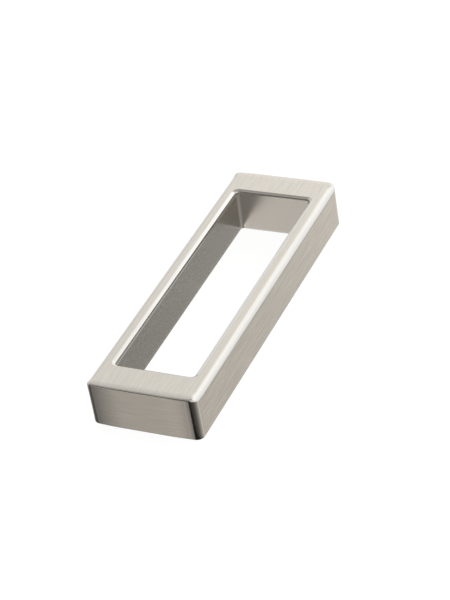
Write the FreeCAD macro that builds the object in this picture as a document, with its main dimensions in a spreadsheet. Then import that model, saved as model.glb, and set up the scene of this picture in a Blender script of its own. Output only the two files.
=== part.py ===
import FreeCAD, Part
import Sketcher
import enum
import math
import os

# Rectangular frame handle for a drawer or cabinet front, cast in one piece.
# The frame is screwed to the front from behind through its two wide end rails.
# Fingers reach into the long opening and pull on its undercut long walls.
#
# Frame of the model, in millimetres: the origin is the middle of the flat mounting face,
# +X runs along the handle, +Y across it and +Z away from the drawer front.

# Driving dimensions. Handles of this kind are sized by the spacing of their screws.
# The inset lies between a screw's axis and the end face next to it.
# A side rail's front runs from its outer face to a shallow flare, which slopes down towards the
# fingers and ends in a crisp edge. From there a round bulges further out over the opening and
# runs into the wall, and the wall leans away from the fingers by the undercut at the back.
# The overcut is how far a cutting shape stands out of the metal that it cuts.
DIMENSIONS = [
    ("screw_spacing", 128.0),
    ("screw_inset", 6.0),
    ("frame_width", 44.0),
    ("frame_depth", 18.5),
    ("end_rail_width", 13.3),
    ("side_rail_front", 4.45),
    ("flare_width", 1.6),
    ("flare_depth", 0.58),
    ("grip_radius", 3.3),
    ("grip_bulge", 0.53),
    ("grip_undercut", 0.73),
    ("corner_radius", 2.8),
    ("long_edge_radius", 3.0),
    ("end_edge_radius", 0.6),
    ("back_edge_radius", 0.3),
    ("opening_corner_radius", 1.5),
    ("end_rim_radius", 1.35),
    ("tapping_diameter", 3.3),
    ("tapping_depth", 11.0),
    ("screw_mouth_diameter", 4.4),
    ("screw_mouth_angle", 90.0),
    ("overcut", 1.0),
]

# Sizes that follow from the driving ones. Distances are measured from the middle of the handle,
# heights from its back. The wall starts at its foot and is tangent to the round of the grip.
DERIVED_SIZES = [
    ("frame_length", "=Dimensions.screw_spacing + 2 * Dimensions.screw_inset"),
    ("opening_length", "=frame_length - 2 * Dimensions.end_rail_width"),
    ("flare_distance", "=Dimensions.frame_width / 2 - Dimensions.side_rail_front"),
    ("flare_edge_distance", "=flare_distance - Dimensions.flare_width"),
    ("flare_edge_height", "=Dimensions.frame_depth - Dimensions.flare_depth"),
    ("grip_distance", "=flare_edge_distance - Dimensions.grip_bulge + Dimensions.grip_radius"),
    ("grip_rise", "=sqrt(Dimensions.grip_radius ^ 2 - (grip_distance - flare_edge_distance) ^ 2)"),
    ("grip_height", "=flare_edge_height - grip_rise"),
    ("foot_distance", "=grip_distance - Dimensions.grip_radius + Dimensions.grip_undercut"),
    ("foot_to_grip", "=hypot(grip_distance - foot_distance; grip_height)"),
    ("foot_angle", "=atan2(grip_height; grip_distance - foot_distance)"),
    ("wall_lean", "=foot_angle - acos(Dimensions.grip_radius / foot_to_grip)"),
    ("wall_top_distance", "=grip_distance - Dimensions.grip_radius * cos(wall_lean)"),
    ("wall_top_height", "=grip_height - Dimensions.grip_radius * sin(wall_lean)"),
    ("opening_width_back", "=2 * foot_distance"),
    ("opening_width_front", "=2 * (foot_distance - Dimensions.frame_depth * tan(wall_lean))"),
    ("end_rim_distance", "=opening_length / 2 + Dimensions.end_rim_radius"),
]

# How far an edge may lie from the plane that it is looked for on
PLANE_TOLERANCE = 1e-4

# Numbers by which a sketch knows the points of a line or circle, and its own origin and axes
Point = enum.IntEnum("Point", "START END CENTRE")
SKETCH_ORIGIN = (-1, Point.START)
SKETCH_X_AXIS = -1
SKETCH_Y_AXIS = -2

# Height of the back, on which the corners of a section may lie
BACK = "0"


def make_sheet(doc, name, rows):
    """Spreadsheet with one named cell for each size."""
    sheet = doc.addObject("Spreadsheet::Sheet", name)
    for row, (alias, content) in enumerate(rows, start=1):
        sheet.set("A%d" % row, alias)
        sheet.setAlias("B%d" % row, alias)
        sheet.set("B%d" % row, str(content))
    doc.recompute()
    return sheet


def new_sketch(body, name, plane_role):
    """Empty sketch on one of the body's own origin planes."""
    sketch = body.newObject("Sketcher::SketchObject", name)
    for plane in body.Origin.OriginFeatures:
        if plane.Role == plane_role:
            sketch.AttachmentSupport = [(plane, "")]
    sketch.MapMode = "FlatFace"
    return sketch


def constrain(sketch, *constraint):
    """Adds one constraint and gives its number in the sketch."""
    return sketch.addConstraint(Sketcher.Constraint(*constraint))


def add_dimension(sketch, name, expression, *constraint):
    """Adds a named sketch dimension that takes its value from an expression."""
    value = size_of(sketch, expression)
    sketch.renameConstraint(constrain(sketch, *constraint, value), name)
    sketch.setExpression("Constraints." + name, expression)


def size_of(sketch, expression):
    """Present value of an expression on the sheets' cells."""
    return float(sketch.evalExpression(expression))


def draw_line(sketch, start, end):
    """Straight line between two points; gives its number and the names of its two ends."""
    line = Part.LineSegment(FreeCAD.Vector(*start, 0), FreeCAD.Vector(*end, 0))
    return sketch.addGeometry(line, False), Point.START, Point.END


def draw_arc(sketch, start, end, centre):
    """Arc of less than half a turn between two points; gives its number and the names of its two ends."""
    circle = Part.Circle(FreeCAD.Vector(*centre, 0), FreeCAD.Vector(0, 0, 1), math.dist(centre, start))
    angles = [math.atan2(place[1] - centre[1], place[0] - centre[0]) for place in (start, end)]
    if (angles[1] - angles[0]) % math.tau < math.pi:
        return sketch.addGeometry(Part.ArcOfCircle(circle, *angles), False), Point.START, Point.END
    return sketch.addGeometry(Part.ArcOfCircle(circle, *reversed(angles)), False), Point.END, Point.START


def draw_outline(sketch, corners, rounds):
    """Closed outline through named corners, each with its side, its distance and its height.

    From a corner that is named in rounds, an arc leads to the next one, with its centre's distance
    and height and its radius given there. Distances, heights and radii are expressions.
    """
    def place_of(side, distance, height):
        return side * size_of(sketch, distance), size_of(sketch, height)

    segments = []
    for turn, (name, *corner) in enumerate(corners):
        next_corner = corners[(turn + 1) % len(corners)][1:]
        start, end = place_of(*corner), place_of(*next_corner)
        if name in rounds:
            centre_distance, centre_height, radius = rounds[name]
            segment = draw_arc(sketch, start, end, place_of(corner[0], centre_distance, centre_height))
            add_dimension(sketch, name + "_radius", radius, "Radius", segment[0])
        else:
            segment = draw_line(sketch, start, end)
        segments.append(segment)
    for turn, (name, side, distance, height) in enumerate(corners):
        point = segments[turn][:2]
        number_before, _, end_before = segments[turn - 1]
        constrain(sketch, "Coincident", number_before, end_before, *point)
        from_middle = (*SKETCH_ORIGIN, *point) if side > 0 else (*point, *SKETCH_ORIGIN)
        add_dimension(sketch, name + "_distance", distance, "DistanceX", *from_middle)
        if height == BACK:
            constrain(sketch, "PointOnObject", *point, SKETCH_X_AXIS)
        else:
            add_dimension(sketch, name + "_height", height, "DistanceY", *SKETCH_ORIGIN, *point)


def volume_now(body):
    """Volume of the body once its features are up to date."""
    body.Document.recompute()
    return body.Shape.Volume


def require_cut(body, volume_before, name):
    """Stops if the last feature took nothing away."""
    if volume_now(body) >= volume_before:
        raise RuntimeError(name + " cut nothing")


def add_cut(body, name, sketch, length):
    """Cuts the sketch's outlines out of the body, evenly to both sides of the sketch."""
    volume_before = volume_now(body)
    pocket = body.newObject("PartDesign::Pocket", name)
    pocket.Profile = sketch
    pocket.Midplane = True
    pocket.setExpression("Length", length)
    require_cut(body, volume_before, name)


def near(number, target):
    """Whether two numbers are the same, within the tolerance."""
    return abs(number - target) < PLANE_TOLERANCE


def reach(low, high):
    """Largest distance from the origin along one axis."""
    return max(abs(low), abs(high))


def round_edges(body, name, radius, is_wanted):
    """Fillet on those edges of the body whose bounding box is a wanted one."""
    body.Document.recompute()
    edge_names = []
    for number, edge in enumerate(body.Shape.Edges, start=1):
        if is_wanted(edge.BoundBox):
            edge_names.append("Edge%d" % number)
    base = body.Tip
    fillet = body.newObject("PartDesign::Fillet", name)
    fillet.Base = (base, edge_names)
    fillet.setExpression("Radius", radius)
    body.Document.recompute()
    if not fillet.isValid():
        raise RuntimeError(name + " can't be made")


def add_block(body, given, derived):
    """Solid block with rounded upright corners."""
    half_length = derived.frame_length / 2
    depth = given.frame_depth
    half_width = given.frame_width / 2
    corners = [(-half_length, -half_width), (half_length, -half_width),
               (half_length, half_width), (-half_length, half_width)]
    outline = new_sketch(body, "Outline", "XY_Plane")
    sides = []
    for turn, corner in enumerate(corners):
        sides.append(draw_line(outline, corner, corners[(turn + 1) % len(corners)])[0])
    bottom, right, top, left = sides
    for line, next_line in ((bottom, right), (right, top), (top, left), (left, bottom)):
        constrain(outline, "Coincident", line, Point.END, next_line, Point.START)
    for along in (bottom, top):
        constrain(outline, "Horizontal", along)
    for across in (left, right):
        constrain(outline, "Vertical", across)
    constrain(outline, "Symmetric", bottom, Point.START, top, Point.START, *SKETCH_ORIGIN)
    bottom_ends = (bottom, Point.START, bottom, Point.END)
    right_ends = (right, Point.START, right, Point.END)
    add_dimension(outline, "length", "Derived.frame_length", "DistanceX", *bottom_ends)
    add_dimension(outline, "width", "Dimensions.frame_width", "DistanceY", *right_ends)
    block = body.newObject("PartDesign::Pad", "Block")
    block.Profile = outline
    block.setExpression("Length", "Dimensions.frame_depth")

    def is_corner(box):
        return near(reach(box.XMin, box.XMax), half_length) and near(box.ZLength, depth)

    round_edges(body, "OuterCorners", "Dimensions.corner_radius", is_corner)


def draw_edge_waste(sketch, side, edge, radius):
    """Section of the metal outside a rounded front edge, on one side of the handle."""
    word = "far_" if side > 0 else "near_"
    crest = "%s - %s" % (edge, radius)
    flank = "Dimensions.frame_depth - " + radius
    outside = edge + " + Dimensions.overcut"
    above = "Dimensions.frame_depth + Dimensions.overcut"
    draw_outline(sketch, [
        (word + "flank", side, edge, flank),
        (word + "crest", side, crest, "Dimensions.frame_depth"),
        (word + "above_crest", side, crest, above),
        (word + "outside", side, outside, above),
        (word + "beside_flank", side, outside, flank),
    ], {word + "flank": (crest, flank, radius)})


def round_front(body):
    """Rounds the front edges: amply along the handle, and crisply at its two ends."""
    round_front_edges(body, "Long", "YZ_Plane", "Dimensions.frame_width", "Derived.frame_length")
    round_front_edges(body, "End", "XZ_Plane", "Derived.frame_length", "Dimensions.frame_width")


def round_front_edges(body, word, plane_role, apart, length):
    """Rounds two front edges that lie a given size apart and run over a given length."""
    section = new_sketch(body, word + "EdgeSection", plane_role)
    for side in (-1, 1):
        draw_edge_waste(section, side, apart + " / 2", "Dimensions.%s_edge_radius" % word.lower())
    add_cut(body, word + "Edges", section, length)


def add_opening(body, given, derived):
    """Finger opening, wider at the back than at the front, so that its long walls are undercut."""
    half_opening = derived.opening_length / 2
    depth = given.frame_depth
    section = new_sketch(body, "OpeningSection", "YZ_Plane")
    front = "Derived.opening_width_front / 2"
    draw_outline(section, [
        ("near_foot", -1, "Derived.foot_distance", BACK),
        ("far_foot", 1, "Derived.foot_distance", BACK),
        ("far_front", 1, front, "Dimensions.frame_depth"),
        ("near_front", -1, front, "Dimensions.frame_depth"),
    ], {})
    add_cut(body, "Opening", section, "Derived.opening_length")

    def is_corner(box):
        return near(reach(box.XMin, box.XMax), half_opening) and near(box.ZLength, depth)

    round_edges(body, "OpeningCorners", "Dimensions.opening_corner_radius", is_corner)


def make_rim_cutter(doc):
    """Solid that forms the opening's front rim, with the sections of the long and the end rims."""
    cutter = doc.addObject("PartDesign::Body", "RimCutter")
    section = new_sketch(cutter, "SideRimSection", "YZ_Plane")
    above = "Dimensions.frame_depth + Dimensions.overcut"
    grip = ("Derived.grip_distance", "Derived.grip_height", "Dimensions.grip_radius")
    draw_outline(section, [
        ("near_wall_top", -1, "Derived.wall_top_distance", "Derived.wall_top_height"),
        ("far_wall_top", 1, "Derived.wall_top_distance", "Derived.wall_top_height"),
        ("far_flare_edge", 1, "Derived.flare_edge_distance", "Derived.flare_edge_height"),
        ("far_flare", 1, "Derived.flare_distance", "Dimensions.frame_depth"),
        ("far_above", 1, "Derived.flare_distance", above),
        ("near_above", -1, "Derived.flare_distance", above),
        ("near_flare", -1, "Derived.flare_distance", "Dimensions.frame_depth"),
        ("near_flare_edge", -1, "Derived.flare_edge_distance", "Derived.flare_edge_height"),
    ], {"far_wall_top": grip, "near_flare_edge": grip})
    stock = cutter.newObject("PartDesign::Pad", "RimStock")
    stock.Profile = section
    stock.Midplane = True
    stock.setExpression("Length", "2 * Derived.end_rim_distance")

    section = new_sketch(cutter, "EndRimSection", "XZ_Plane")
    wall = "Derived.opening_length / 2"
    rim = "Derived.end_rim_distance"
    outside = rim + " + Dimensions.overcut"
    rim_foot = "Dimensions.frame_depth - Dimensions.end_rim_radius"
    below = "Derived.wall_top_height - Dimensions.overcut"
    for side, word in ((-1, "near_"), (1, "far_")):
        draw_outline(section, [
            (word + "below", side, wall, below),
            (word + "rim_foot", side, wall, rim_foot),
            (word + "rim", side, rim, "Dimensions.frame_depth"),
            (word + "outside", side, outside, "Dimensions.frame_depth"),
            (word + "outside_below", side, outside, below),
        ], {word + "rim_foot": (rim, rim_foot, "Dimensions.end_rim_radius")})
    add_cut(cutter, "EndRims", section, "2 * Derived.flare_distance + Dimensions.overcut")
    return cutter


def shape_rim(body, cutter):
    """Forms the opening's front rim."""
    volume_before = volume_now(body)
    rim = body.newObject("PartDesign::Boolean", "Rim")
    rim.setObjects([cutter])
    rim.Type = "Cut"
    require_cut(body, volume_before, "Rim")


def break_back_edges(body):
    """Small round on every edge of the flat back."""
    def is_at_back(box):
        return near(box.ZMin, 0) and near(box.ZMax, 0)

    round_edges(body, "BackEdges", "Dimensions.back_edge_radius", is_at_back)


def add_screw_holes(body, given):
    """Two blind tapping holes in the back of the end rails, each with a cone at its mouth."""
    spacing = given.screw_spacing
    diameter = given.tapping_diameter
    along_z = FreeCAD.Vector(0, 0, 1)
    centres = new_sketch(body, "ScrewCentres", "XY_Plane")
    circles = []
    for place in (-spacing / 2, spacing / 2):
        circle = Part.Circle(FreeCAD.Vector(place, 0, 0), along_z, diameter / 2)
        circles.append(centres.addGeometry(circle, False))
    near_centre = (circles[0], Point.CENTRE)
    far_centre = (circles[1], Point.CENTRE)
    constrain(centres, "PointOnObject", *near_centre, SKETCH_X_AXIS)
    constrain(centres, "Symmetric", *near_centre, *far_centre, *SKETCH_ORIGIN)
    constrain(centres, "Equal", *circles)
    add_dimension(centres, "spacing", "Dimensions.screw_spacing", "DistanceX", *near_centre, *far_centre)
    add_dimension(centres, "diameter", "Dimensions.tapping_diameter", "Diameter", circles[0])

    volume_before = volume_now(body)
    holes = body.newObject("PartDesign::Hole", "ScrewHoles")
    holes.Profile = centres
    body.Document.recompute()
    holes.Reversed = True
    holes.Threaded = False
    holes.DepthType = "Dimension"
    holes.DrillPoint = "Angled"
    holes.HoleCutType = "Countersink"
    holes.setExpression("Diameter", "Dimensions.tapping_diameter")
    holes.setExpression("Depth", "Dimensions.tapping_depth")
    holes.setExpression("HoleCutDiameter", "Dimensions.screw_mouth_diameter")
    holes.setExpression("HoleCutCountersinkAngle", "Dimensions.screw_mouth_angle")
    require_cut(body, volume_before, "ScrewHoles")


def make_handle_frame(doc, given, derived):
    """The handle, one cast piece."""
    body = doc.addObject("PartDesign::Body", "HandleFrame")
    body.Label = "handle_frame"
    add_block(body, given, derived)
    round_front(body)
    add_opening(body, given, derived)
    shape_rim(body, make_rim_cutter(doc))
    break_back_edges(body)
    add_screw_holes(body, given)
    body.Placement = FreeCAD.Placement()
    return body


def check_document(doc, bodies):
    """Stops on a failed feature, or on a sub-part whose shape is missing or not sound."""
    for feature in doc.Objects:
        for fault in ("Invalid", "Error"):
            if fault in feature.State:
                raise RuntimeError(feature.Name + " is in the state " + fault)
    for body in bodies:
        if body.Shape.isNull() or not body.Shape.isValid() or len(body.Shape.Solids) != 1:
            raise RuntimeError(body.Label + " is not one sound solid")


def export(bodies):
    """Writes each sub-part to a file of its own."""
    os.makedirs("parts", exist_ok=True)
    for body in bodies:
        body.Shape.exportStep("parts/%s.step" % body.Label)
        print(body.Label, "volume", round(body.Shape.Volume, 1), "mm3")


document = FreeCAD.newDocument("FrameHandle")
dimensions = make_sheet(document, "Dimensions", DIMENSIONS)
derived_sizes = make_sheet(document, "Derived", DERIVED_SIZES)
sub_parts = [make_handle_frame(document, dimensions, derived_sizes)]
document.recompute()
check_document(document, sub_parts)
export(sub_parts)
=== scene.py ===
import math
from collections import namedtuple

import bpy
from mathutils import Euler, Matrix, Vector
from mathutils.geometry import delaunay_2d_cdt


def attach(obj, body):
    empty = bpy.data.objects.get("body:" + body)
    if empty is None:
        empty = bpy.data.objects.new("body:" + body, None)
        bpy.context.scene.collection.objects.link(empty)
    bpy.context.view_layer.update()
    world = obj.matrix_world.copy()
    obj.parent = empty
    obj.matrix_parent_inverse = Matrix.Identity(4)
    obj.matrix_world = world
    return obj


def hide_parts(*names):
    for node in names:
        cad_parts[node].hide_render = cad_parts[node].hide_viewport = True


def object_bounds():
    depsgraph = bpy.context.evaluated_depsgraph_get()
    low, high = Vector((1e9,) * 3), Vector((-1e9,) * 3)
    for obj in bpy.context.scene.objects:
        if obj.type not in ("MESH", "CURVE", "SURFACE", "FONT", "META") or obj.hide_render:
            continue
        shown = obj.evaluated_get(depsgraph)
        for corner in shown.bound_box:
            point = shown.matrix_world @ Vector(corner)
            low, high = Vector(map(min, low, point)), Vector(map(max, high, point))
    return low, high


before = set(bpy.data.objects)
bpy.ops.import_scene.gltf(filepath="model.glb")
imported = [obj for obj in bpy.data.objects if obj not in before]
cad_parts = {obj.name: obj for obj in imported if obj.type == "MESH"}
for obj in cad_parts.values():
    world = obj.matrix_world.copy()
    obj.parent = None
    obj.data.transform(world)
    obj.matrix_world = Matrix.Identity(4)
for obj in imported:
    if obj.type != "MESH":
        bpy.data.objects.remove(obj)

cad_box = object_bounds()

# Sizes are in millimetres, and are turned into metres where Blender takes them
MM = 0.001

# The handle is as long, wide and deep as its CAD model, to a thousandth of a millimetre
SIZE_DIGITS = 3
LENGTH, WIDTH, HEIGHT = (round((high - low) / MM, SIZE_DIGITS) for low, high in zip(*cad_box))

# Outside: upright corners, rounds along the long front edges that are smaller at the ends,
# crisp front edges at the ends, softer ones over the corners, and a small break at the back
CORNER_RADIUS = 2.8
LONG_EDGE_RADIUS = 3.0
LONG_EDGE_END_RADIUS = 2.0
LONG_EDGE_TAPER = 5.0
END_EDGE_RADIUS = 0.65
CORNER_EDGE_RADIUS = 1.8
BACK_EDGE_RADIUS = 0.3

# End faces: slightly crowned towards their upright corners, with the front rolled down to them
CROWN_START = 9.0
CROWN_RADIUS = 150.0
ROLL_WIDTH = 3.2
ROLL_RADIUS = 20.0

# Opening: distances of its walls from the middle of the handle, and radii of its corners
OPENING_END_WALL = 56.7
OPENING_SIDE_BACK = 16.15
OPENING_CORNER_TOP = 3.0
OPENING_CORNER_WALL = 1.2

# Rim at the ends of the opening: a shallow flare and the round that runs down into the wall
END_FLARE_SLOPE = 30.0
END_FLARE_ROLL_RADIUS = 0.5
END_FLARE_RUN = 0.5
END_RIM_RADIUS = 1.1

# Rim of the long rails: a shallow flare, its crisp edge and the grip's round, which runs into
# the wall
FLARE_START = 17.5
FLARE_SLOPE = 27.0
FLARE_ROLL_RADIUS = 0.9
FLARE_RUN = 1.05
FLARE_EDGE_RADIUS = 0.15
GRIP_START = 63.0
GRIP_RADIUS = 3.3

# Screw holes in the back; the thread's crest and root are each flat over a share of the pitch
SCREW_SPACING = 128.0
THREAD_MINOR_RADIUS = 1.65
THREAD_MAJOR_RADIUS = 2.0
THREAD_PITCH = 0.7
THREAD_FLAT = 0.1875
THREAD_DEPTH = 10.0
BORE_DEPTH = 11.0
BORE_TIP_DEPTH = 11.95
MOUTH_RADIUS = 2.2

# Segments of the mesh
CORNER_SEGMENTS = 14
EDGE_SEGMENTS = 8
SMALL_EDGE_SEGMENTS = 4
FLARE_SEGMENTS = 2
WALL_SEGMENTS = 18
ROUND_SEGMENTS = 16
SIDE_SEGMENTS = 36
END_SEGMENTS = 20
THREAD_SEGMENTS = 40
THREAD_ROWS_PER_PITCH = 8

# The loop of points on the flat front that the outside and the inside share
FLAT_CORNER_RADIUS = 1.0
FLAT_END_INSET = 5.0

# A point nearer than this to its fellow in the loop below is that same point
SAME_PLACE = 1e-4

# Precision of the back's triangles, and Blender's number for those inside the given edges
BACK_PRECISION = 1e-6
INSIDE_THE_EDGES = 1

# Where finishes change: distance from the middle line at which the corners' finish starts, the
# sideways part of a normal from which a wall is a flat side, and how far the finish of the end
# walls reaches towards the middle of the opening
CORNER_FINISH_START = 17.2
FLAT_SIDE_NORMAL = 0.999
END_FINISH_REACH = 0.96

# Directions of an outward normal in a rail's section, in degrees; the section runs on a quarter
# turn from them
TO_FRONT = 90.0
TO_OPENING = 180.0
TO_BACK = 270.0
QUARTER_TURN = 90.0

UPWARD = (0.0, 0.0, 1.0)
DOWNWARD = (0.0, 0.0, -1.0)
SIDEWAYS = (0.0, 1.0, 0.0)
NO_NORMAL = (0.0, 0.0, 0.0)
BRUSH_ATTRIBUTE = "across_brush"


def blend(first, second, share):
    return first + (second - first) * share


def clamp(value):
    return min(1.0, max(0.0, value))


def sign(value):
    return math.copysign(1.0, value)


Station = namedtuple("Station", "distance height angle part")


class Section:
    """Inside of a rail in the rail's own plane, walked from the flat front to the back.

    A station holds the distance from the middle of the handle, the height above the back, the
    angle of the outward normal and the part of the surface that leads to it.
    """

    def __init__(self, distance):
        self.distance = distance
        self.height = HEIGHT
        self.angle = TO_FRONT
        self.stations = []
        self.mark("front")

    def mark(self, part):
        self.stations.append(Station(self.distance, self.height, self.angle, part))

    def straight(self, part, length, segments):
        along = math.radians(self.angle + QUARTER_TURN)
        for _ in range(segments):
            self.distance += math.cos(along) * length / segments
            self.height += math.sin(along) * length / segments
            self.mark(part)

    def centre(self, radius):
        """Centre of an arc that starts at the last station."""
        start = math.radians(self.angle)
        return self.distance - radius * math.cos(start), self.height - radius * math.sin(start)

    def arc(self, part, radius, end_angle, segments):
        centre_distance, centre_height = self.centre(radius)
        first = self.angle
        for step in range(1, segments + 1):
            self.angle = blend(first, end_angle, step / segments)
            turn = math.radians(self.angle)
            self.distance = centre_distance + radius * math.cos(turn)
            self.height = centre_height + radius * math.sin(turn)
            self.mark(part)


def lean_of_wall(grip_distance, grip_height):
    """Lean, in degrees, of the side wall between the grip's round and the back of the opening."""
    offset = grip_distance - OPENING_SIDE_BACK
    reach = math.hypot(offset, grip_height)
    return math.degrees(math.asin(GRIP_RADIUS / reach) - math.atan2(offset, grip_height))


def add_wall(section):
    """The wall of the opening and the round at its foot, which ends on the back."""
    lean = math.radians(section.angle - TO_OPENING)
    foot_height = BACK_EDGE_RADIUS * (1.0 - math.sin(lean))
    section.straight("wall", (section.height - foot_height) / math.cos(lean), WALL_SEGMENTS)
    section.arc("round", BACK_EDGE_RADIUS, TO_BACK, SMALL_EDGE_SEGMENTS)


def side_section():
    """Inside of a long rail: a shallow flare, its crisp edge, the grip's round and the wall."""
    section = Section(FLARE_START)
    section.arc("rim", FLARE_ROLL_RADIUS, TO_FRONT + FLARE_SLOPE, EDGE_SEGMENTS)
    section.straight("rim", FLARE_RUN, FLARE_SEGMENTS)
    section.arc("rim", FLARE_EDGE_RADIUS, TO_FRONT + GRIP_START, EDGE_SEGMENTS)
    lean = lean_of_wall(*section.centre(GRIP_RADIUS))
    section.arc("rim", GRIP_RADIUS, TO_OPENING + lean, EDGE_SEGMENTS)
    add_wall(section)
    return section.stations


def end_section():
    """Inside of an end rail: a flare, a round and the wall, in as many steps as a long rail's."""
    slope = math.radians(END_FLARE_SLOPE)
    flare = END_FLARE_ROLL_RADIUS * math.sin(slope) + END_FLARE_RUN * math.cos(slope)
    rim = END_RIM_RADIUS * (1.0 - math.sin(slope))
    section = Section(OPENING_END_WALL + rim + flare)
    section.arc("rim", END_FLARE_ROLL_RADIUS, TO_FRONT + END_FLARE_SLOPE, EDGE_SEGMENTS)
    section.straight("rim", END_FLARE_RUN, FLARE_SEGMENTS)
    section.arc("rim", END_RIM_RADIUS, TO_FRONT + GRIP_START, EDGE_SEGMENTS)
    section.arc("rim", END_RIM_RADIUS, TO_OPENING, EDGE_SEGMENTS)
    add_wall(section)
    return section.stations


class Surface:
    """Points with their normals, and the faces between them with the part that each is in."""

    def __init__(self):
        self.points = []
        self.normals = []
        self.faces = []
        self.parts = []

    def add_point(self, point, normal=NO_NORMAL):
        self.points.append(tuple(point))
        self.normals.append(tuple(normal))
        return len(self.points) - 1

    def add_loop(self, entries, below=None):
        """A loop's points, where one that lies on its fellow in the loop below is that point."""
        loop = []
        for number, (point, normal) in enumerate(entries):
            if below and math.dist(point, self.points[below[number]]) < SAME_PLACE:
                loop.append(below[number])
            else:
                loop.append(self.add_point(point, normal))
        return loop

    def add_face(self, corners, part):
        self.faces.append(corners)
        self.parts.append(part)

    def add_band(self, lower, upper, part):
        """Faces between two closed loops of points, apart from those with no area."""
        for here in range(len(lower)):
            there = (here + 1) % len(lower)
            around = (lower[here], lower[there], upper[there], upper[here])
            corners = tuple(dict.fromkeys(around))
            if len(corners) > 2:
                self.add_face(corners, part)


def quarter_signs(quarter):
    """Signs of x and y at a corner of the handle, counterclockwise from the far left one."""
    return (1, -1, -1, 1)[quarter], (1, 1, -1, -1)[quarter]


def corner_points(quarter, end, side, radius):
    """Points and normals round one corner of a loop."""
    along, over = quarter_signs(quarter)
    for step in range(CORNER_SEGMENTS + 1):
        turn = math.pi / 2 * (quarter + step / CORNER_SEGMENTS)
        share = math.sin(turn) ** 2
        angle = math.radians(blend(end.angle, side.angle, share))
        point = (
            along * (end.distance - radius) + radius * math.cos(turn),
            over * (side.distance - radius) + radius * math.sin(turn),
            blend(end.height, side.height, share),
        )
        normal = (
            math.cos(angle) * math.cos(turn),
            math.cos(angle) * math.sin(turn),
            math.sin(angle),
        )
        yield point, normal


def loop_points(end, side, radius):
    """One closed loop round the handle, at a station of the end rails and one of the long rails."""
    corners = [list(corner_points(quarter, end, side, radius)) for quarter in range(4)]
    for quarter, corner in enumerate(corners):
        yield from corner
        here = corner[-1][0]
        there, normal = corners[(quarter + 1) % 4][0]
        segments = SIDE_SEGMENTS if quarter % 2 == 0 else END_SEGMENTS
        for step in range(1, segments):
            yield [blend(a, b, step / segments) for a, b in zip(here, there)], normal


def crown(distance):
    """How far an end face stands back at a distance from its middle, and how far it turns."""
    past = max(0.0, distance - CROWN_START)
    return past ** 2 / (2.0 * CROWN_RADIUS), past / CROWN_RADIUS


def outer_plan():
    """Outline of the handle seen from the front: places and normals, in the order of a loop."""
    corner_y = WIDTH / 2 - CORNER_RADIUS
    last_back, last_turn = crown(corner_y)
    corner_x = LENGTH / 2 - last_back - CORNER_RADIUS * math.cos(last_turn)
    end_start = corner_y + CORNER_RADIUS * math.sin(last_turn)
    plan = []
    for quarter in range(4):
        along, over = quarter_signs(quarter)
        towards_side = quarter % 2 == 0
        for step in range(CORNER_SEGMENTS + 1):
            share = step / CORNER_SEGMENTS if towards_side else 1.0 - step / CORNER_SEGMENTS
            turn = blend(last_turn, math.pi / 2, share)
            u, v = along * math.cos(turn), over * math.sin(turn)
            place = (along * corner_x + CORNER_RADIUS * u, over * corner_y + CORNER_RADIUS * v)
            plan.append((place, (u, v)))
        if towards_side:
            for step in range(1, SIDE_SEGMENTS):
                x = blend(along * corner_x, -along * corner_x, step / SIDE_SEGMENTS)
                plan.append(((x, over * WIDTH / 2), (0.0, over)))
        else:
            for step in range(1, END_SEGMENTS):
                y = blend(over * end_start, -over * end_start, step / END_SEGMENTS)
                back, turn = crown(abs(y))
                normal = (along * math.cos(turn), sign(y) * math.sin(turn))
                plan.append(((along * (LENGTH / 2 - back), y), normal))
    return plan


def long_edge_radius(x):
    """Radius of the round along the sides at a place, and how fast it shrinks towards the end."""
    share = clamp((abs(x) - (LENGTH / 2 - LONG_EDGE_TAPER)) / LONG_EDGE_TAPER)
    loss = LONG_EDGE_RADIUS - LONG_EDGE_END_RADIUS
    radius = LONG_EDGE_RADIUS - loss * share ** 2 * (3.0 - 2.0 * share)
    return radius, loss * 6.0 * share * (1.0 - share) / LONG_EDGE_TAPER


def front_height(x, y):
    """Height and normal of the front at a place: rolled down at the ends, round at the sides."""
    past = max(0.0, abs(x) - (LENGTH / 2 - ROLL_WIDTH))
    slope = past / ROLL_RADIUS
    radius, shrinking = long_edge_radius(x)
    sine = clamp((abs(y) - (WIDTH / 2 - radius)) / radius)
    cosine = math.sqrt(1.0 - sine ** 2)
    height = HEIGHT - radius * (1.0 - cosine) - slope * past / 2
    along = slope * cosine + shrinking * (1.0 - sine - cosine)
    return height, Vector((sign(x) * along, sign(y) * sine, cosine)).normalized()


def across_front(y):
    """Distance from the middle line to a place, measured along the front and its side round."""
    past = abs(y) - (WIDTH / 2 - LONG_EDGE_RADIUS)
    if past <= 0.0:
        return abs(y)
    return abs(y) - past + LONG_EDGE_RADIUS * math.asin(clamp(past / LONG_EDGE_RADIUS))


def place_across(measured):
    """The place at such a measured distance from the middle line."""
    flat = WIDTH / 2 - LONG_EDGE_RADIUS
    if measured <= flat:
        return measured
    return flat + LONG_EDGE_RADIUS * math.sin((measured - flat) / LONG_EDGE_RADIUS)


def front_edge(place, wall_normal):
    """Small round between an upright wall and the front, from the one to the other."""
    height, front_normal = front_height(*place)
    wall_normal = Vector((*wall_normal, 0.0))
    radius = blend(END_EDGE_RADIUS, CORNER_EDGE_RADIUS, wall_normal.y ** 2)
    halfway = (wall_normal + front_normal) / (1.0 + wall_normal.dot(front_normal))
    centre = Vector((*place, height)) - radius * halfway
    edge = []
    for step in range(EDGE_SEGMENTS + 1):
        normal = wall_normal.slerp(front_normal, step / EDGE_SEGMENTS)
        edge.append((centre + radius * normal, normal))
    return edge


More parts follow.
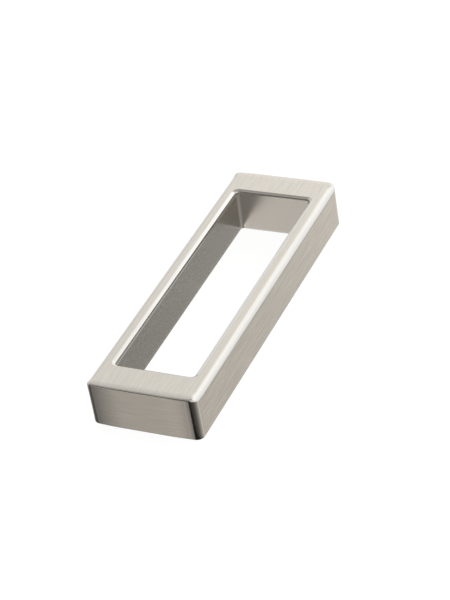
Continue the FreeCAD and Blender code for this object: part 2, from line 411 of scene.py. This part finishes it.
def back_edge_loops(plan):
    """Loops of the small break round the back."""
    for step in range(SMALL_EDGE_SEGMENTS + 1):
        turn = math.pi / 2 * step / SMALL_EDGE_SEGMENTS
        outward, upward = math.sin(turn), -math.cos(turn)
        inset = BACK_EDGE_RADIUS * (1.0 - outward)
        height = BACK_EDGE_RADIUS * (1.0 + upward)
        yield [
            ((x - inset * u, y - inset * v, height), (u * outward, v * outward, upward))
            for (x, y), (u, v) in plan
        ]


def outer_wall_loops(plan, edges):
    """Loops of the upright outer walls, closer together towards the front."""
    for step in range(1, WALL_SEGMENTS + 1):
        rise = 1.0 - (1.0 - step / WALL_SEGMENTS) ** 2
        yield [
            ((*place, blend(BACK_EDGE_RADIUS, edge[0][0].z, rise)), (*normal, 0.0))
            for (place, normal), edge in zip(plan, edges)
        ]


def crest_loops(edges):
    """Loops from the small front edge over the rounds and rolls to the flat of the front."""
    flat_end = Station(LENGTH / 2 - FLAT_END_INSET, HEIGHT, TO_FRONT, "crest")
    flat_side = Station(WIDTH / 2 - LONG_EDGE_RADIUS, HEIGHT, TO_FRONT, "crest")
    targets = [point for point, _ in loop_points(flat_end, flat_side, FLAT_CORNER_RADIUS)]
    for step in range(1, ROUND_SEGMENTS + 1):
        share = step / ROUND_SEGMENTS
        loop = []
        for edge, target in zip(edges, targets):
            start = edge[-1][0]
            x = blend(start.x, target[0], share)
            y = place_across(blend(across_front(start.y), across_front(target[1]), share))
            y *= sign(start.y)
            height, normal = front_height(x, y)
            loop.append(((x, y, height), normal))
        yield loop


def add_outside(surface):
    """The outside, from the back edge to the flat of the front; gives its two outmost loops."""
    plan = outer_plan()
    edges = [front_edge(place, normal) for place, normal in plan]
    loops = [("round", loop) for loop in back_edge_loops(plan)]
    loops += [("outer", loop) for loop in outer_wall_loops(plan, edges)]
    loops += [("round", loop) for loop in list(zip(*edges))[1:]]
    loops += [("crest", loop) for loop in crest_loops(edges)]
    first = surface.add_loop(loops[0][1])
    last = first
    for part, entries in loops[1:]:
        following = surface.add_loop(entries, last)
        surface.add_band(last, following, part)
        last = following
    return first, last


def add_inside(surface, flat_loop):
    """The flat front, the opening's rim and its walls; gives the loop of points at the back."""
    ends = end_section()
    rim_start = ends[0].distance
    lower = flat_loop
    for end, side in zip(ends, side_section()):
        if end.part == "round":
            radius = OPENING_CORNER_WALL + end.distance - OPENING_END_WALL
        else:
            depth = (rim_start - end.distance) / (rim_start - OPENING_END_WALL)
            radius = blend(OPENING_CORNER_TOP, OPENING_CORNER_WALL, depth)
        upper = surface.add_loop(loop_points(end, side, radius))
        surface.add_band(lower, upper, end.part)
        lower = upper
    return lower


def thread_radius(depth, turn):
    """Radius of a tapped hole at a depth below its mouth, which is a cone."""
    phase = (depth / THREAD_PITCH - turn / math.tau) % 1.0
    flank = clamp((abs(phase - 0.5) - THREAD_FLAT / 2) / (0.5 - THREAD_FLAT))
    runout = clamp((THREAD_DEPTH - depth) / THREAD_PITCH)
    thread = blend(THREAD_MINOR_RADIUS, THREAD_MAJOR_RADIUS, (1.0 - flank) * runout)
    return max(thread, MOUTH_RADIUS - depth)


def add_screw_hole(surface, middle):
    """A blind tapped hole with a conical tip; gives the loop of points at its mouth."""
    rows = round(BORE_DEPTH / THREAD_PITCH * THREAD_ROWS_PER_PITCH)
    loops = []
    for row in range(rows + 1):
        depth = BORE_DEPTH * row / rows
        loop = []
        for step in range(THREAD_SEGMENTS):
            turn = math.tau * step / THREAD_SEGMENTS
            radius = thread_radius(depth, turn)
            point = (middle + radius * math.cos(turn), radius * math.sin(turn), depth)
            loop.append(surface.add_point(point))
        loops.append(loop)
    for lower, upper in zip(loops, loops[1:]):
        surface.add_band(upper, lower, "bore")
    tip = surface.add_point((middle, 0.0, BORE_TIP_DEPTH))
    last = loops[-1]
    for here, there in zip(last, last[1:] + last[:1]):
        surface.add_face((there, here, tip), "bore")
    return loops[0]


def add_back(surface, outer_loop, holes):
    """The flat back, between its outer edge and the loops of the opening and the screw holes."""
    used = []
    edges = []
    for loop in (outer_loop, *holes):
        first = len(used)
        used.extend(loop)
        for step in range(len(loop)):
            edges.append((first + step, first + (step + 1) % len(loop)))
    flat = [Vector(surface.points[index][:2]) for index in used]
    triangles = delaunay_2d_cdt(flat, edges, [], INSIDE_THE_EDGES, BACK_PRECISION)[2]
    for triangle in triangles:
        corners = tuple(used[corner] for corner in reversed(triangle))
        if not any(set(corners) <= set(hole) for hole in holes):
            surface.add_face(corners, "back")


def make_surface():
    surface = Surface()
    outer_loop, flat_loop = add_outside(surface)
    holes = [add_inside(surface, flat_loop)]
    for place in (-SCREW_SPACING / 2, SCREW_SPACING / 2):
        holes.append(add_screw_hole(surface, place))
    add_back(surface, outer_loop, holes)
    return surface


def finish_of(part, polygon):
    """Name of a face's finish, from the part that it is in, its place and its normal."""
    along = abs(polygon.center.x) / MM
    over = abs(polygon.center.y) / MM
    at_end = along > OPENING_END_WALL - END_FINISH_REACH
    if part == "crest":
        return "front" if over < WIDTH / 2 - LONG_EDGE_RADIUS else "edge"
    if part == "outer":
        if over > CORNER_FINISH_START and abs(polygon.normal.y) < FLAT_SIDE_NORMAL:
            return "corner"
        return "side" if abs(polygon.normal.y) > abs(polygon.normal.x) else "end"
    if part == "wall":
        return "end_wall" if at_end else "wall"
    if part == "rim":
        return "edge" if at_end else "rim"
    return "front" if part == "front" else "edge"


def set_finishes(mesh, surface, metals):
    """Finish of each face, and the direction across the brush marks at each point."""
    for material in metals.values():
        mesh.materials.append(material)
    order = list(metals)
    across = mesh.attributes.new(BRUSH_ATTRIBUTE, "FLOAT_VECTOR", "POINT")
    for entry in across.data:
        entry.vector = UPWARD
    for polygon, part in zip(mesh.polygons, surface.parts):
        finish = finish_of(part, polygon)
        polygon.material_index = order.index(finish)
        if finish == "front":
            for vertex in polygon.vertices:
                across.data[vertex].vector = SIDEWAYS


def set_normals(mesh, surface):
    """Exact normals on the frame; the faces of the flat back and the bores keep their own."""
    corner_normals = [None] * len(mesh.loops)
    for polygon, part in zip(mesh.polygons, surface.parts):
        polygon.use_smooth = True
        for corner in polygon.loop_indices:
            normal = surface.normals[mesh.loops[corner].vertex_index]
            if part == "back":
                normal = DOWNWARD
            elif part == "bore":
                normal = tuple(polygon.normal)
            corner_normals[corner] = normal
    mesh.normals_split_custom_set(corner_normals)


def add_to_scene(thing):
    bpy.context.scene.collection.objects.link(thing)
    return thing


def make_handle(metals):
    surface = make_surface()
    mesh = bpy.data.meshes.new("handle_body")
    points = [tuple(value * MM for value in point) for point in surface.points]
    mesh.from_pydata(points, [], surface.faces)
    set_finishes(mesh, surface, metals)
    set_normals(mesh, surface)
    return add_to_scene(bpy.data.objects.new("handle_body", mesh))


# Blender's numbers for the sockets of a mix of two colours
MIX_SHARE = 0
MIX_FIRST = 6
MIX_SECOND = 7
MIX_RESULT = 2


class Nodes:
    """Short calls for building a node tree."""

    def __init__(self, tree):
        self.tree = tree
        tree.nodes.clear()

    def add(self, kind, inputs=None, **settings):
        node = self.tree.nodes.new(kind)
        for name, value in settings.items():
            setattr(node, name, value)
        for socket, value in (inputs or {}).items():
            self.set(node.inputs[socket], value)
        return node

    def set(self, socket, value):
        if isinstance(value, bpy.types.NodeSocket):
            self.tree.links.new(value, socket)
        else:
            socket.default_value = value

    def math(self, operation, *values):
        """One number from up to three."""
        node = self.add("ShaderNodeMath", dict(enumerate(values)), operation=operation)
        return node.outputs[0]

    def times(self, first, second):
        return self.math("MULTIPLY", first, second)

    def opposite(self, share):
        """What a share leaves of one."""
        return self.math("SUBTRACT", 1.0, share)

    def tinted(self, tone, tint):
        inputs = {0: tone, 1: tint}
        return self.add("ShaderNodeVectorMath", inputs, operation="MULTIPLY").outputs["Vector"]

    def ramp(self, value, start, end, low, high, change="LINEAR"):
        """One level up to start and another from end on, with a change between."""
        inputs = {"Value": value, "From Min": start, "From Max": end, "To Min": low, "To Max": high}
        node = self.add("ShaderNodeMapRange", inputs, interpolation_type=change)
        return node.outputs["Result"]

    def step(self, value, start, end, low=0.0, high=1.0):
        return self.ramp(value, start, end, low, high, "SMOOTHSTEP")

    def curve(self, value, stops, reach):
        """Grey tone that changes from stop to stop with a value from -reach to reach."""
        fraction = self.math("MULTIPLY_ADD", value, 0.5 / reach, 0.5)
        node = self.add("ShaderNodeValToRGB", {"Fac": fraction})
        elements = node.color_ramp.elements
        while len(elements) < len(stops):
            elements.new(1.0)
        for element, (position, tone) in zip(elements, stops):
            element.position = (position / reach + 1.0) / 2.0
            element.color = (tone, tone, tone, 1.0)
        return node.outputs["Color"]

    def mix(self, share, first, second):
        """Mix of two colours."""
        node = self.add("ShaderNodeMix", {MIX_SHARE: share}, data_type="RGBA")
        for number, value in ((MIX_FIRST, first), (MIX_SECOND, second)):
            self.set(node.inputs[number], (*value, 1.0) if isinstance(value, tuple) else value)
        return node.outputs[MIX_RESULT]

    def either(self, share, first, second):
        """Mix of two shaders, as the shader that it gives."""
        inputs = {0: share, 1: first, 2: second}
        return self.add("ShaderNodeMixShader", inputs).outputs[0]


# Metal: its tone, and darker or lighter copies of it that are painted shade and painted light:
# painted shade on the outer sides and on the side walls of the opening, a painted highlight on the
# opening's rims and painted light on its end walls
METAL_TONE = (0.72, 0.678, 0.61)
SIDE_PAINTED_SHADE_TONE = (0.71, 0.66, 0.572)
RIM_PAINTED_HIGHLIGHT_TONE = (0.80, 0.775, 0.73)
WALL_PAINTED_SHADE_TONE = (0.66, 0.622, 0.56)
END_WALL_PAINTED_LIGHT_TONE = (0.96, 0.907, 0.827)

# Marks in the metal: how many there are in a metre along the handle, across it and upwards, then
# the detail and roughness of their noise, and the depth of their relief
ALONG_MARKS = (85.0, 2500.0, 2500.0)
COARSE_ALONG_MARKS = (45.0, 1500.0, 1500.0)
ACROSS_MARKS = (2200.0, 60.0, 2200.0)
GRAIN_MARKS = (1500.0, 1500.0, 1500.0)
MARK_DETAIL = 4.0
MARK_ROUGHNESS = 0.7
MARK_DEPTH = 0.02

# Levels of the marks between which the tone and the roughness change, and the share by which
# the roughness does
TONE_LEVELS = (0.35, 0.65)
ROUGHNESS_LEVELS = (0.3, 0.7)
ROUGHNESS_SPREAD = 0.1

# A finish has a tone and marks in it, a roughness, a contrast by which the marks vary the tone,
# a relief that is the strength of their bumps, and a stretch of its reflections across the marks
Finish = namedtuple("Finish", "tone marks roughness contrast relief stretch", defaults=(0.0,))
BRUSHED = 0.6

# Brushed outside, smooth on the edges and corners, and grainy on the walls of the opening; the
# tones of the sides and side walls are painted shade, those of the rims a painted highlight and
# those of the end walls painted light
FINISHES = {
    "front": Finish(METAL_TONE, ALONG_MARKS, 0.24, contrast=0.055, relief=0.25, stretch=BRUSHED),
    "side": Finish(SIDE_PAINTED_SHADE_TONE, COARSE_ALONG_MARKS, 0.24, contrast=0.07, relief=0.3, stretch=BRUSHED),
    "end": Finish(METAL_TONE, ACROSS_MARKS, 0.17, contrast=0.06, relief=0.2, stretch=BRUSHED),
    "edge": Finish(METAL_TONE, COARSE_ALONG_MARKS, 0.16, contrast=0.03, relief=0.1),
    "corner": Finish(METAL_TONE, COARSE_ALONG_MARKS, 0.10, contrast=0.03, relief=0.1),
    "rim": Finish(RIM_PAINTED_HIGHLIGHT_TONE, COARSE_ALONG_MARKS, 0.12, contrast=0.03, relief=0.1),
    "wall": Finish(WALL_PAINTED_SHADE_TONE, GRAIN_MARKS, 0.20, contrast=0.16, relief=0.25),
    "end_wall": Finish(END_WALL_PAINTED_LIGHT_TONE, GRAIN_MARKS, 0.30, contrast=0.03, relief=0.03),
}


def make_metal(name, finish):
    """Metal with marks that vary its tone, its roughness and its relief."""
    material = bpy.data.materials.new("brushed_nickel_" + name)
    material.use_nodes = True
    nodes = Nodes(material.node_tree)
    place = nodes.add("ShaderNodeTexCoord").outputs["Object"]
    scaled = nodes.add("ShaderNodeMapping", {"Vector": place, "Scale": finish.marks}).outputs[0]
    level = nodes.add("ShaderNodeTexNoise", {
        "Vector": scaled,
        "Scale": 1.0,
        "Detail": MARK_DETAIL,
        "Roughness": MARK_ROUGHNESS,
    }).outputs["Fac"]
    dark = tuple(value * (1.0 - finish.contrast) for value in finish.tone)
    light = tuple(min(1.0, value * (1.0 + finish.contrast)) for value in finish.tone)
    smoother = finish.roughness * (1.0 - ROUGHNESS_SPREAD)
    rougher = finish.roughness * (1.0 + ROUGHNESS_SPREAD)
    bump = {"Height": level, "Strength": finish.relief, "Distance": MARK_DEPTH * MM}
    shader = nodes.add("ShaderNodeBsdfPrincipled", {
        "Base Color": nodes.mix(nodes.step(level, *TONE_LEVELS), dark, light),
        "Metallic": 1.0,
        "Roughness": nodes.ramp(level, *ROUGHNESS_LEVELS, smoother, rougher),
        "Anisotropic": finish.stretch,
        "Normal": nodes.add("ShaderNodeBump", bump).outputs[0],
    })
    if finish.stretch:
        across = nodes.add("ShaderNodeAttribute", attribute_name=BRUSH_ATTRIBUTE)
        nodes.set(shader.inputs["Tangent"], across.outputs["Vector"])
    nodes.add("ShaderNodeOutputMaterial", {"Surface": shader.outputs[0]})
    return material


# Studio light. It depends on the direction alone, and its tones are those that plain metal shows
# where it mirrors them. Angles are in degrees; a pair of values is where a soft change starts
# and ends.
STUDIO_STRENGTH = 1.0 / METAL_TONE[0]
BACKDROP_TONE = (1.0, 1.0, 1.0, 1.0)
KEY_AZIMUTH = -30.0
HALF_TURN = 180.0

# Sky: a cosine of the angle from the key light, and the tone there
SKY_TONES = (
    (-1.00, 0.08),
    (-0.83, 0.10),
    (-0.70, 0.40),
    (-0.58, 0.50),
    (-0.33, 0.49),
    (0.15, 0.57),
    (0.30, 0.62),
    (0.40, 0.695),
    (0.50, 0.725),
    (0.58, 0.75),
    (0.64, 0.81),
    (0.70, 0.90),
    (0.76, 0.96),
    (0.82, 0.98),
)

# The sky is cooler near the key light, dimmer overhead, and dimmer low down below the key light
COOL_COSINES = (0.60, 0.90)
COOL_TINT = (0.96, 1.0, 1.06)
PLAIN_TINT = (1.0, 1.0, 1.0)
OVERHEAD_ELEVATIONS = (36.0, 66.0)
OVERHEAD_SHARE = 0.55
LOW_KEY_COSINES = (0.45, 0.75)
LOW_KEY_ELEVATIONS = (-36.0, 28.0)
LOW_KEY_LOSS = 0.31

# Ground: an azimuth and the tone there
GROUND_TONES = (
    (-180.0, 0.026),
    (-168.0, 0.028),
    (-150.0, 0.040),
    (-120.0, 0.085),
    (-90.0, 0.22),
    (-60.0, 0.40),
    (-46.0, 0.57),
    (-38.0, 0.52),
    (-33.0, 0.12),
    (-27.0, 0.40),
    (-21.0, 0.72),
    (0.0, 0.53),
    (60.0, 0.36),
    (100.0, 0.25),
    (122.0, 0.16),
    (132.0, 0.14),
    (138.0, 0.28),
    (146.0, 0.30),
    (165.0, 0.026),
    (180.0, 0.026),
)
GROUND_TINT = (1.0, 0.972, 0.955)
HORIZON_ELEVATIONS = (-33.0, -18.0)

# A bright card low down, which the near end mirrors
CARD_LEFT = (134.5, 150.0)
CARD_RIGHT = (155.2, 156.9)
CARD_BOTTOM = (-56.0, -48.0)
CARD_TOP = (-24.0, -10.0)
CARD_TONE = (1.13, 1.10, 1.065)


def sky_colour(nodes, key, elevation):
    tone = nodes.curve(key, SKY_TONES, 1.0)
    overhead = nodes.step(elevation, *OVERHEAD_ELEVATIONS, 1.0, OVERHEAD_SHARE)
    low = nodes.ramp(elevation, *LOW_KEY_ELEVATIONS, LOW_KEY_LOSS, 0.0)
    low_key = nodes.opposite(nodes.times(low, nodes.step(key, *LOW_KEY_COSINES)))
    tone = nodes.times(tone, nodes.times(overhead, low_key))
    tint = nodes.mix(nodes.step(key, *COOL_COSINES), PLAIN_TINT, COOL_TINT)
    return nodes.tinted(tone, tint)


def card_share(nodes, azimuth, elevation):
    """One on the bright card and zero beside it."""
    left = nodes.step(azimuth, *CARD_LEFT)
    right = nodes.opposite(nodes.step(azimuth, *CARD_RIGHT))
    bottom = nodes.step(elevation, *CARD_BOTTOM)
    top = nodes.opposite(nodes.step(elevation, *CARD_TOP))
    return nodes.times(nodes.times(left, right), nodes.times(bottom, top))


def make_light():
    """World that is a plain backdrop to the camera and the studio to the metal."""
    world = bpy.data.worlds.new("studio")
    world.use_nodes = True
    bpy.context.scene.world = world
    nodes = Nodes(world.node_tree)
    way = nodes.add("ShaderNodeTexCoord").outputs["Generated"]
    axes = nodes.add("ShaderNodeSeparateXYZ", {0: way}).outputs
    key_turn = math.radians(KEY_AZIMUTH)
    to_key = {0: way, 1: (math.cos(key_turn), math.sin(key_turn), 0.0)}
    key = nodes.add("ShaderNodeVectorMath", to_key, operation="DOT_PRODUCT").outputs["Value"]
    elevation = nodes.math("DEGREES", nodes.math("ARCSINE", axes["Z"]))
    azimuth = nodes.math("DEGREES", nodes.math("ARCTAN2", axes["Y"], axes["X"]))

    sky = sky_colour(nodes, key, elevation)
    ground = nodes.tinted(nodes.curve(azimuth, GROUND_TONES, HALF_TURN), GROUND_TINT)
    room = nodes.mix(nodes.step(elevation, *HORIZON_ELEVATIONS), ground, sky)
    room = nodes.mix(card_share(nodes, azimuth, elevation), room, CARD_TONE)
    studio = nodes.add("ShaderNodeBackground", {"Color": room, "Strength": STUDIO_STRENGTH})
    backdrop = nodes.add("ShaderNodeBackground", {"Color": BACKDROP_TONE})
    seen = nodes.add("ShaderNodeLightPath").outputs["Is Camera Ray"]
    both = nodes.either(seen, studio.outputs[0], backdrop.outputs[0])
    nodes.add("ShaderNodeOutputWorld", {"Surface": both})


# Floor: pale from above and clear from below, a little under the back so that the two don't
# share a plane. In a reflection it lets the studio's ground through with a painted shadow of the
# handle, in the opening and before the near end, and a faint painted light in the opening.
FLOOR_HALF_SIZE = 20000.0
FLOOR_DROP = 0.02
FLOOR_GLOW = 0.90
FLOOR_TONE = (0.22, 0.22, 0.22, 1.0)
WHITE = (1.0, 1.0, 1.0)
OPENING_SHADE = (0.41, 0.41, 0.41)
OPENING_PAINTED_LIGHT = 0.08
NEAR_END_SHADE = (0.34, 0.34, 0.34)
NEAR_END_SHADE_LENGTH = 40.0
SHADE_SOFTNESS = 1.5


def floor_band(nodes, value, low, high):
    """One between two places and zero beyond them, with soft edges."""
    soft = SHADE_SOFTNESS * MM
    rise = nodes.step(value, low * MM - soft, low * MM + soft)
    fall = nodes.step(value, high * MM - soft, high * MM + soft)
    return nodes.math("SUBTRACT", rise, fall)


def mirrored_floor(nodes):
    """What the metal mirrors of the floor: the studio's ground, with a painted shadow of the handle
    in the opening and before the near end, and painted light in the opening.
    """
    place = nodes.add("ShaderNodeTexCoord").outputs["Object"]
    axes = nodes.add("ShaderNodeSeparateXYZ", {0: place}).outputs
    opening = nodes.times(
        floor_band(nodes, axes["X"], -OPENING_END_WALL, OPENING_END_WALL),
        floor_band(nodes, axes["Y"], -OPENING_SIDE_BACK, OPENING_SIDE_BACK))
    shade_end = CORNER_RADIUS - LENGTH / 2
    near_end = nodes.times(
        floor_band(nodes, axes["X"], -LENGTH / 2 - NEAR_END_SHADE_LENGTH, shade_end),
        floor_band(nodes, axes["Y"], -WIDTH / 2, WIDTH))
    # Painted shadow of the handle on the floor that the metal mirrors, in the opening and before
    # the near end
    shade = nodes.mix(opening, WHITE, OPENING_SHADE)
    shade = nodes.mix(near_end, shade, NEAR_END_SHADE)
    clear = nodes.add("ShaderNodeBsdfTransparent", {"Color": shade})
    # Painted light in the opening, which glows only in reflections
    painted_light = nodes.add("ShaderNodeEmission", {
        "Strength": nodes.times(opening, OPENING_PAINTED_LIGHT * STUDIO_STRENGTH)})
    both = nodes.add("ShaderNodeAddShader", {0: clear.outputs[0], 1: painted_light.outputs[0]})
    return both.outputs[0]


def floor_material():
    material = bpy.data.materials.new("floor")
    material.use_nodes = True
    nodes = Nodes(material.node_tree)
    pale = nodes.add("ShaderNodeBsdfPrincipled", {
        "Base Color": FLOOR_TONE,
        "Roughness": 1.0,
        "Specular IOR Level": 0.0,
        "Emission Color": (*WHITE, 1.0),
        "Emission Strength": FLOOR_GLOW,
    })
    mirrored = nodes.add("ShaderNodeLightPath").outputs["Is Glossy Ray"]
    above = nodes.either(mirrored, pale.outputs[0], mirrored_floor(nodes))
    clear = nodes.add("ShaderNodeBsdfTransparent")
    underside = nodes.add("ShaderNodeNewGeometry").outputs["Backfacing"]
    both = nodes.either(underside, above, clear.outputs[0])
    nodes.add("ShaderNodeOutputMaterial", {"Surface": both})
    return material


def make_floor():
    size = FLOOR_HALF_SIZE * MM
    drop = -FLOOR_DROP * MM
    corners = [(-size, -size, drop), (size, -size, drop), (size, size, drop), (-size, size, drop)]
    mesh = bpy.data.meshes.new("floor")
    mesh.from_pydata(corners, [], [(0, 1, 2, 3)])
    mesh.materials.append(floor_material())
    floor = add_to_scene(bpy.data.objects.new("floor", mesh))
    floor.visible_shadow = False


# Camera, fitted to the photograph: its place in metres, its turns about x, y and z in degrees,
# and its lens and sensor in millimetres
CAMERA_PLACE = (-0.575334, -0.325784, 0.485004)
CAMERA_TURNS = (53.73993, 8.20660, -66.61438)
CAMERA_LENS = 128.726
CAMERA_SENSOR = 36.0


def make_camera():
    data = bpy.data.cameras.new("camera")
    data.lens = CAMERA_LENS
    data.sensor_width = CAMERA_SENSOR
    camera = add_to_scene(bpy.data.objects.new("camera", data))
    turns = Euler([math.radians(turn) for turn in CAMERA_TURNS])
    camera.matrix_world = Matrix.LocRotScale(Vector(CAMERA_PLACE), turns, None)
    bpy.context.scene.camera = camera


def main():
    make_camera()
    make_light()
    make_floor()
    metals = {name: make_metal(name, finish) for name, finish in FINISHES.items()}
    handle = make_handle(metals)
    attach(handle, "root")
    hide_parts("handle_frame")
    bpy.context.scene.view_settings.view_transform = "Standard"


main()
